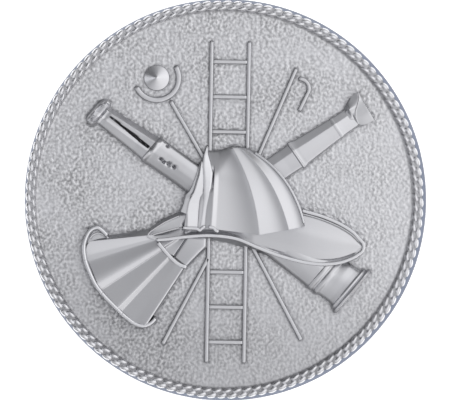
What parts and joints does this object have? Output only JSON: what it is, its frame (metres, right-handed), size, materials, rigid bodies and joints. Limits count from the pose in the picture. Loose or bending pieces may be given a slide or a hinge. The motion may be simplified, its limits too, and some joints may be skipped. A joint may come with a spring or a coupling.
{
  "type": "insignia pin",
  "caption": "Round struck metal pin with a rope border and a raised helmet, ladder, hook pole, pipe and trumpet on a stippled field, held by butterfly clutches.",
  "frame": {"origin": "on the surface that the pin lies on, below the middle of the disc", "axes": "+Z out of the struck face, +Y to the top of the emblem, +X to its right as it is seen"},
  "size_m": [0.0254, 0.0254, 0.0096],
  "materials": {
    "silver": "satin silver plate on struck brass",
    "post_metal": "plain drawn brass, plated",
    "clutch_metal": "bright nickel plate"
  },
  "bodies": {
    "root": {"disc": "silver", "post_left": "post_metal", "post_right": "post_metal", "clutch_left": "clutch_metal", "clutch_right": "clutch_metal"}
  },
  "joints": []
}
